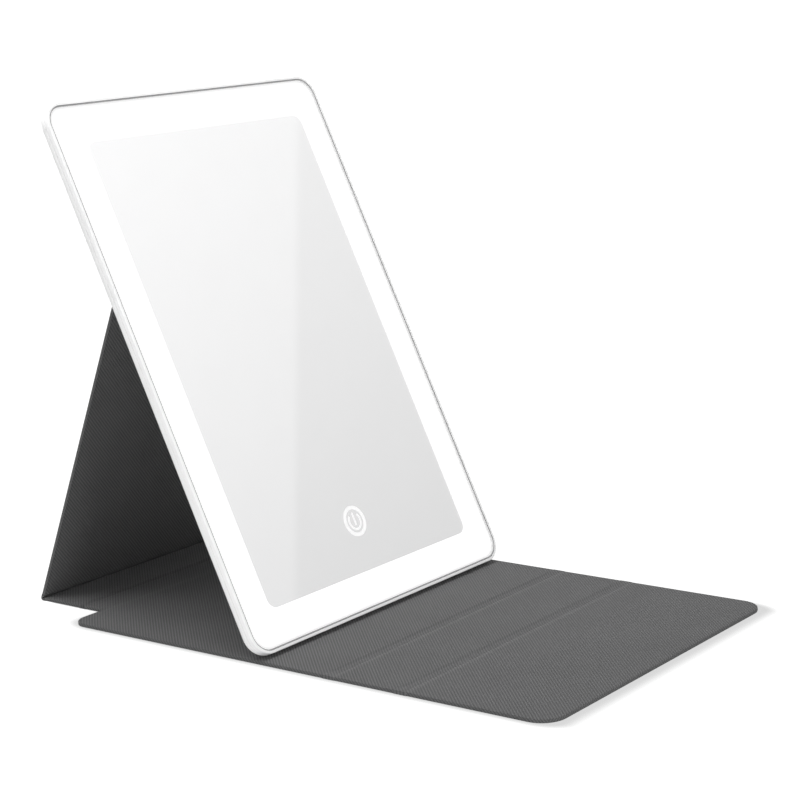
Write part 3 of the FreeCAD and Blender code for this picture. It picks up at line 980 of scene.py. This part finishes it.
@dataclass
class FoldingCover:
    """The folding cover: five panels on the table and behind, a tab on the mirror and five folds."""

    sizes: CoverSizes
    mirror: MirrorSizes

    def panels(self) -> list[Panel]:
        """Return every panel, from the front edge to the tab on the mirror's back."""
        s = self.sizes
        half, narrow = s.half, s.narrow
        front_end, mid_start = s.groove_b - s.groove_half, s.groove_b + s.groove_half
        mid_end, base_start = s.groove_a - s.groove_half, s.groove_a + s.groove_half
        neck_end, strip_start = s.crease - s.crease_half, s.crease + s.crease_half
        strip_end = s.rear - s.fold_reach
        flap_end = s.flap_length - s.crease_half
        base = [(-half, base_start, 0.0), (half, base_start, 0.0), (half, s.notch, s.rear_radius),
                (narrow, s.notch, 0.0), (narrow, neck_end, 0.0), (-narrow, neck_end, 0.0),
                (-narrow, s.notch, 0.0), (-half, s.notch, s.rear_radius)]
        front = rectangle(half, s.front_y, front_end, s.front_radius)
        mount = rectangle(narrow, s.crease_half, s.mount_length, 0.0, s.mount_radius)
        back = -self.mirror.depth - s.thickness
        tab = self.mirror.place() @ Matrix.Translation((0.0, self.mirror.hinge, back))
        return [
            Panel("front", Body.FRONT, front, folds=(front_end,)),
            Panel("mid", Body.MID, rectangle(half, mid_start, mid_end), folds=(mid_start, mid_end)),
            Panel("base", Body.BASE, base, folds=(base_start, neck_end)),
            Panel("strip", Body.STRIP, rectangle(narrow, strip_start, strip_end),
                  folds=(strip_start, strip_end)),
            Panel("flap", Body.FLAP, rectangle(narrow, s.fold_reach, flap_end), s.flap_place(),
                  folds=(s.fold_reach, flap_end), slant=-1.0, along=s.rear),
            Panel("mount", Body.MIRROR, mount, tab, folds=(s.crease_half,), slant=-1.0,
                  along=s.rear + s.flap_length, lined=False),
        ]

    def flat_web(self, name: str, bodies: tuple[Body, Body], half: float, axis: float,
                 reach: float) -> FoldWeb:
        """Return a web that lies flat on the table.

        Args:
            name: the web's name.
            bodies: the bodies behind and in front of the fold.
            half: half its width.
            axis: where its fold lies along the cover.
            reach: how far it goes to either side of the fold.

        Returns:
            The web.
        """
        level = self.sizes.web / 2
        whole = reach - self.sizes.butt
        line = [Vector((0.0, axis + whole * (2 * i / WEB_STEPS - 1), level)) for i in range(WEB_STEPS + 1)]
        way = 1.0 if bodies[0] in (Body.MID, Body.FRONT) else -1.0
        bend = reach * BEND_SHARE * way
        start, end = Vector((0.0, axis - bend, level)), Vector((0.0, axis + bend, level))
        return FoldWeb(name, bodies, half, line, start, end, self.sizes.dip, along=axis - whole,
                       fade=self.sizes.fade)

    def webs(self) -> dict[str, list[FoldWeb]]:
        """Return the fold webs, under the panel whose lining they go with."""
        s = self.sizes
        level = s.web / 2
        full_dip = s.thickness - s.web - s.butt
        turn = s.flap_angle
        rise = Vector((0.0, -math.cos(turn), math.sin(turn)))
        rear_axis = Vector((0.0, s.rear, level))
        rear_reach = s.fold_reach - s.butt
        apex_reach = s.crease_half - s.butt
        rear_end = rear_axis + rise * rear_reach
        rear = FoldPath((s.rear - rear_reach, level), (s.rear, level), (rear_end.y, rear_end.z),
                        s.rear_round)
        bend = s.fold_bend
        apex_axis = Vector((0.0, *s.apex))
        up_glass = (self.mirror.place().to_3x3() @ Vector((0.0, 1.0, 0.0))).normalized()
        apex_start = apex_axis - rise * apex_reach
        apex_end = apex_axis + up_glass * apex_reach
        apex = FoldPath((apex_start.y, apex_start.z), s.apex, (apex_end.y, apex_end.z), s.apex_round)
        groove_a = self.flat_web("groove_a_web", (Body.MID, Body.BASE), s.half, s.groove_a, s.groove_half)
        groove_b = self.flat_web("groove_b_web", (Body.FRONT, Body.MID), s.half, s.groove_b, s.groove_half)
        neck = self.flat_web("neck_web", (Body.STRIP, Body.BASE), s.narrow, s.crease, s.crease_half)
        return {
            "base": [groove_a, neck],
            "front": [groove_b],
            "flap": [FoldWeb("rear_fold_web", (Body.STRIP, Body.FLAP), s.narrow, rear.points(),
                             rear_axis - Vector((0.0, bend, 0.0)), rear_axis + rise * bend, full_dip,
                             along=s.rear - rear_reach),
                     FoldWeb("apex_web", (Body.FLAP, Body.MIRROR), s.narrow, apex.points(),
                             apex_axis - rise * bend, apex_axis + up_glass * bend, full_dip, slant=-1.0,
                             along=s.rear + s.flap_length - apex_reach)],
        }

    def build(self, palette: Palette) -> None:
        """Build the panels and folds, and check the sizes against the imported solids."""
        front_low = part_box("front_outer_skin")[0]
        off = max(abs(front_low.y - self.sizes.front_y), abs(front_low.x + self.sizes.half))
        if off > SIZE_TOLERANCE:
            LOG.warning("the cover's sizes differ from the packed solids: %s", tuple(front_low))
        webs = {name: [web.build(self.sizes, palette) for web in group]
                for name, group in self.webs().items()}
        for panel in self.panels():
            panel.build_skin(self.sizes, palette)
            if panel.lined:
                panel.build_lining(self.sizes, palette, webs.get(panel.name, []))


@dataclass
class LitMirror:
    """The lit mirror panel's face: coating, frosted border, seal bead and touch symbol."""

    sizes: MirrorSizes
    film: float = 0.03 * MM
    ring: tuple[float, float] = (5.2 * MM, 6.75 * MM)
    arc: tuple[float, float] = (3.1 * MM, 4.0 * MM)
    arc_gap: float = math.radians(45)
    bar: tuple[float, float, float] = (0.9 * MM, -1.9 * MM, 3.9 * MM)
    bar_round: float = 0.49
    border_gap: float = 0.04 * MM

    @property
    def back(self) -> float:
        """Where the glass's back face lies."""
        return -self.sizes.recess - self.sizes.glass

    @property
    def zone_inset(self) -> float:
        """Distance of the mirror zone from the panel's edge."""
        return self.sizes.lip + self.sizes.border

    def finish(self, name: str, bm: Mesh, material: Material, slot: str) -> Piece:
        """Place a piece on the mirror and let it ride there."""
        piece = place_piece(name, bm, material, self.sizes.place())
        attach(piece, Body.MIRROR.value)
        return piece

    def frame_ring(self, outer: list[Corner], inner: list[Corner], low: float, high: float) -> Mesh:
        """Build a closed frame between two outlines.

        Args:
            outer: the outer outline.
            inner: the inner outline.
            low: its back face.
            high: its front face.

        Returns:
            The frame's mesh.
        """
        bm = bmesh.new()
        flat_face(bm, outer)
        add_flat(bm, inner)
        edges = list(bm.edges)
        bmesh.ops.delete(bm, geom=list(bm.faces), context="FACES_ONLY")
        faces = bmesh.ops.bridge_loops(bm, edges=edges)["faces"]
        thicken(bm, faces, low, high)
        return bm

    def build_coating(self, palette: Palette) -> None:
        """Lay the mirror coating inside the glass's back face."""
        bm = bmesh.new()
        zone = self.sizes.outline(self.zone_inset, self.sizes.zone_radius, self.sizes.zone_drop)
        face = flat_face(bm, zone)
        thicken(bm, [face], self.back + self.film, self.back + 2 * self.film)
        piece = self.finish("mirror_coating", bm, palette["silvering"], "silvering")
        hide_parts("silver_layer")

    def build_border(self, palette: Palette) -> None:
        """Frost the border of the glass, where the light shows."""
        s = self.sizes
        edge = s.lip + s.seal + self.border_gap
        outer = s.outline(edge, s.corner - edge)
        inner = s.outline(self.zone_inset, s.zone_radius, s.zone_drop)
        bm = self.frame_ring(outer, inner, self.back + self.film, self.back + 2 * self.film)
        shaded = bm.verts.layers.float.new(SHADED)
        side, low, high = inner[1][0], inner[1][1], inner[2][1]
        for vert in bm.verts:
            within = abs(vert.co.x) < side + s.seal and low - s.seal < vert.co.y < high + s.seal
            vert[shaded] = 0.0 if within else 1.0
        self.finish("frosted_border", bm, palette["border_frost"], "opal_acrylic")

    def build_seal(self, palette: Palette) -> None:
        """Lay the rounded rubber bead between the lip and the glass."""
        s = self.sizes
        outside, inside = s.lip + s.seal_gap, s.lip + s.seal - s.seal_gap
        bm = self.frame_ring(s.outline(outside, s.corner - outside), s.outline(inside, s.corner - inside),
                             -s.seal_bed, -s.seal_drop)
        round_rim(bm, level_faces(bm, -s.seal_drop), s.seal_round, BEAD_STEPS)
        piece = self.finish("seal_bead", bm, palette["edge_seal"], "edge_seal")
        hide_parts("glass_seal")

    def band(self, bm: Mesh, radii: tuple[float, float], first: float, angle: float) -> None:
        """Spin a radial line into a flat band.

        Args:
            bm: the mesh that takes the band.
            radii: inner and outer radius.
            first: angle where the band starts.
            angle: how far it turns.
        """
        way = Vector((math.cos(first), math.sin(first), 0.0))
        verts = [bm.verts.new(way * radius) for radius in radii]
        edge = bm.edges.new(verts)
        whole = angle > 2 * math.pi - NEAR
        bmesh.ops.spin(bm, geom=[*verts, edge], cent=(0.0, 0.0, 0.0), axis=(0.0, 0.0, 1.0), angle=angle,
                       steps=SPIN_STEPS, use_merge=whole)

    def build_symbol(self, palette: Palette) -> None:
        """Draw the touch switch: a ring round the on and off sign."""
        bm = bmesh.new()
        self.band(bm, self.ring, 0.0, 2 * math.pi)
        self.band(bm, self.arc, math.pi / 2 + self.arc_gap, 2 * math.pi - 2 * self.arc_gap)
        width, low, high = self.bar
        radius = width * self.bar_round
        add_flat(bm, rectangle(width / 2, low, high, radius, radius))
        bmesh.ops.remove_doubles(bm, verts=bm.verts, dist=EXACT)
        lift = self.back + 3 * self.film
        thicken(bm, list(bm.faces), lift, lift + self.film)
        bmesh.ops.translate(bm, verts=bm.verts, vec=(0.0, self.sizes.symbol_height, 0.0))
        self.finish("touch_symbol", bm, palette["symbol_frost"], "opal_acrylic")

    def build(self, palette: Palette) -> None:
        """Build every piece of the mirror's face."""
        self.build_coating(palette)
        self.build_border(palette)
        self.build_seal(palette)
        self.build_symbol(palette)


@dataclass
class PackedPieces:
    """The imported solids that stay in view, each with its own finish."""

    nodes: dict[str, Piece]
    record: dict

    def dress(self, palette: Palette) -> None:
        """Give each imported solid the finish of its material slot."""
        for row in self.record["subparts"]:
            node = self.nodes[row["node"]]
            material = palette[row["material_slot"]]
            if not node.material_slots:
                node.data.materials.append(material)
            for slot in node.material_slots:
                slot.material = material
            LOG.info("solid %s: %s", row["node"], material.name)


@dataclass(frozen=True)
class SoftLight:
    """One square soft light, turned to the middle of the cover."""

    name: str
    place: Colour
    power: float
    size: float

    def build(self) -> None:
        """Hang the light, unseen by the camera and the mirror."""
        data = bpy.data.lights.new(self.name, "AREA")
        data.energy = self.power
        data.size = self.size
        light = bpy.data.objects.new(self.name, data)
        turn = Vector(self.place).to_track_quat("Z", "Y").to_matrix().to_4x4()
        light.matrix_world = Matrix.Translation(self.place) @ turn
        light.visible_camera = False
        light.visible_glossy = False
        light.visible_transmission = False
        bpy.context.scene.collection.objects.link(light)


@dataclass
class Studio:
    """Pale floor, soft light, backdrop and the camera."""

    cover: CoverSizes
    mirror: MirrorSizes
    eye: Colour = (-0.7033, -0.54936, 0.27555)
    yaw: float = math.radians(52.779)
    pitch: float = math.radians(11.71)
    roll: float = math.radians(-2.276)
    lens: float = 98.379
    sensor: float = 36.0
    floor_size: float = 120.0
    floor_colour: Colour = (0.73, 0.73, 0.73)
    floor_level: float = -0.05 * MM
    backdrop_level: float = -0.5
    backdrop_seen: float = 1.02
    backdrop_mirrored: float = 0.72
    shadow_reach: tuple[float, float] = (0.5 * MM, 9.0 * MM)
    shadow_shift: tuple[float, float, float] = (-0.8 * MM, 0.8 * MM, 0.0)
    shadow_strength: float = 0.38
    shadow_tone: float = 0.03
    shadow_depth: tuple[float, float] = (-6.0 * MM, -4.0 * MM)
    shadow_squeeze: float = 1.8
    shadow_narrow: float = 2.5
    shadow_round: float = 10.0 * MM
    sky: float = 0.42
    lights: tuple[SoftLight, ...] = (
        SoftLight("softbox", (-0.15, 0.2, 0.85), 7.4, 0.6),
        SoftLight("left_fill", (-1.0, -0.3, 0.14), 2.6, 0.4),
        SoftLight("front_fill", (-0.25, -0.95, 0.13), 3.8, 0.4),
    )
    seam_top: tuple[float, float] = (67.2 * MM, 220.6 * MM)
    seam_low: tuple[float, float] = (-52.0 * MM, 17.5 * MM)
    seam_blur: float = 0.003
    seam_shade: float = 0.935
    wall_heights: tuple[float, float] = (0.24, 0.53)
    wall_shades: tuple[float, float] = (1.0, 1.36)
    floor_roughness: float = 0.9
    floor_patch: float = 3.0
    floor_dull: float = 0.995

    def build_camera(self) -> None:
        """Set the camera where the photograph was taken from."""
        data = bpy.data.cameras.new("camera")
        data.lens = self.lens
        data.sensor_width = self.sensor
        camera = bpy.data.objects.new("camera", data)
        bpy.context.scene.collection.objects.link(camera)
        level = math.cos(self.pitch)
        ahead = Vector((math.sin(self.yaw) * level, math.cos(self.yaw) * level, -math.sin(self.pitch)))
        right = Vector((math.cos(self.yaw), -math.sin(self.yaw), 0.0))
        up = right.cross(ahead)
        cos, sin = math.cos(self.roll), math.sin(self.roll)
        turn = Matrix((right * cos + up * sin, up * cos - right * sin, -ahead)).transposed()
        camera.matrix_world = Matrix.Translation(self.eye) @ turn.to_4x4()
        bpy.context.scene.camera = camera

    def reflected(self, place: tuple[float, float]) -> Vector:
        """Return the way that the camera's view leaves the mirror at a place on it."""
        panel = self.mirror.place()
        point = panel @ Vector((*place, -self.mirror.recess))
        normal = (panel.to_3x3() @ Vector((0.0, 0.0, 1.0))).normalized()
        return (point - Vector(self.eye)).normalized().reflect(normal)

    def build_world(self) -> None:
        """Surround the object with even light, and with a two-tone backdrop for the mirror to show."""
        world = bpy.data.worlds.new("studio")
        bpy.context.scene.world = world
        world.use_nodes = True
        world.node_tree.nodes.clear()
        graph = Graph(world.node_tree)
        way = graph.add("ShaderNodeTexCoord").outputs["Generated"]
        rays = graph.add("ShaderNodeLightPath")
        seam = self.reflected(self.seam_top).cross(self.reflected(self.seam_low)).normalized()
        height = graph.dot(way, (0.0, 0.0, 1.0))
        shade = graph.spread(height, *self.wall_heights, *self.wall_shades)
        across = graph.dot(way, tuple(seam))
        side = graph.spread(across, -self.seam_blur, self.seam_blur, 1.0, self.seam_shade, smooth=True)
        backdrop = graph.math("MULTIPLY", shade, side)
        mirrored = graph.mix(rays.outputs["Is Glossy Ray"], self.sky, backdrop)
        light = graph.add("ShaderNodeBackground")
        graph.feed(light.inputs["Strength"], graph.mix(rays.outputs["Is Camera Ray"], mirrored, 1.0))
        output = graph.add("ShaderNodeOutputWorld")
        graph.feed(output.inputs["Surface"], light.outputs[0])

    def gap_to(self, graph: Graph, place: Value, half: float, low: float, high: float) -> Socket:
        """Return how far a place on the floor lies from a part of the cover's footprint.

        Args:
            graph: the floor's graph.
            place: the place, in metres.
            half: half the part's width.
            low: where the part starts along the cover.
            high: where it ends.

        Returns:
            The gap, less than 0 inside, and counted more to the sides, where the shadow is narrower.
        """
        room = self.shadow_round
        reach = (half * self.shadow_squeeze - room, (high - low) / 2 - room, 1.0)
        spot = graph.vector("MULTIPLY", place, (self.shadow_squeeze, 1.0, 1.0))
        spot = graph.vector("SUBTRACT", spot, (0.0, (low + high) / 2, 0.0))
        spot = graph.vector("SUBTRACT", graph.vector("ABSOLUTE", spot), reach)
        spot = graph.vector("MAXIMUM", spot)
        return graph.math("SUBTRACT", graph.vector("LENGTH", spot), room)

    def build_floor(self) -> None:
        """Lay the pale floor just under the cover; the camera sees only the cover's shadow on it."""
        material, graph, shader = new_material("pale_floor")
        place = graph.add("ShaderNodeTexCoord").outputs["Object"]
        tone = graph.spread(graph.noise(place, self.floor_patch), *NOISE_RANGE, self.floor_dull, 1.0)
        rays = graph.add("ShaderNodeLightPath")
        seen = graph.math("MAXIMUM", rays.outputs["Is Camera Ray"], rays.outputs["Is Glossy Ray"])
        lit = graph.math("MULTIPLY", tone, graph.spread(seen, 0.0, 1.0, 1.0, self.shadow_tone))
        place = graph.vector("ADD", place, self.shadow_shift)
        wide = self.gap_to(graph, place, self.cover.half, self.cover.front_y, self.cover.notch)
        narrow = self.gap_to(graph, place, self.cover.narrow, 0.0, self.cover.rear)
        gap = graph.math("MINIMUM", wide, graph.math("MULTIPLY", narrow, self.shadow_narrow))
        outside = graph.spread(gap, *self.shadow_reach, 1.0, 0.0, smooth=True)
        inside = graph.spread(gap, *self.shadow_depth, 0.0, 1.0, smooth=True)
        veil = graph.math("MULTIPLY", graph.math("MULTIPLY", outside, inside), self.shadow_strength)
        clear = graph.math("MULTIPLY", seen, graph.math("SUBTRACT", 1.0, veil))
        graph.fill(shader, {"Base Color": graph.tint(self.floor_colour, lit), "Specular IOR Level": 0.0,
                            "Roughness": self.floor_roughness, "Alpha": graph.math("SUBTRACT", 1.0, clear)})
        self.lay_sheet("floor", material, self.floor_level)

    def build_backdrop(self) -> None:
        """Lay the white sheet that is seen through the floor, far below everything that moves."""
        material, graph, shader = new_material("white_backdrop")
        rays = graph.add("ShaderNodeLightPath")
        strength = graph.mix(rays.outputs["Is Camera Ray"], self.backdrop_mirrored, self.backdrop_seen)
        graph.fill(shader, {"Base Color": (0.0, 0.0, 0.0, 1.0), "Emission Color": (1.0, 1.0, 1.0, 1.0),
                            "Emission Strength": strength})
        self.lay_sheet("backdrop", material, self.backdrop_level)

    def lay_sheet(self, name: str, material: Material, level: float) -> None:
        """Lay one wide flat sheet of the studio at a level."""
        bm = bmesh.new()
        bmesh.ops.create_grid(bm, x_segments=1, y_segments=1, size=self.floor_size / 2)
        place_piece(name, bm, material, Matrix.Translation((0.0, 0.0, level)))

    def build(self) -> None:
        """Build the whole studio."""
        bpy.context.scene.view_settings.view_transform = "Standard"
        self.build_camera()
        self.build_world()
        self.build_floor()
        self.build_backdrop()
        for light in self.lights:
            light.build()


def main() -> None:
    """Build the cover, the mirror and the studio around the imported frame."""
    logging.basicConfig(level=logging.INFO, format="%(name)s: %(message)s")
    palette = Palette()
    cover = CoverSizes()
    mirror = MirrorSizes()
    PackedPieces(frame["nodes"], frame["record"]).dress(palette)
    FoldingCover(cover, mirror).build(palette)
    LitMirror(mirror).build(palette)
    Studio(cover, mirror).build()


if __name__ == "__main__":
    main()
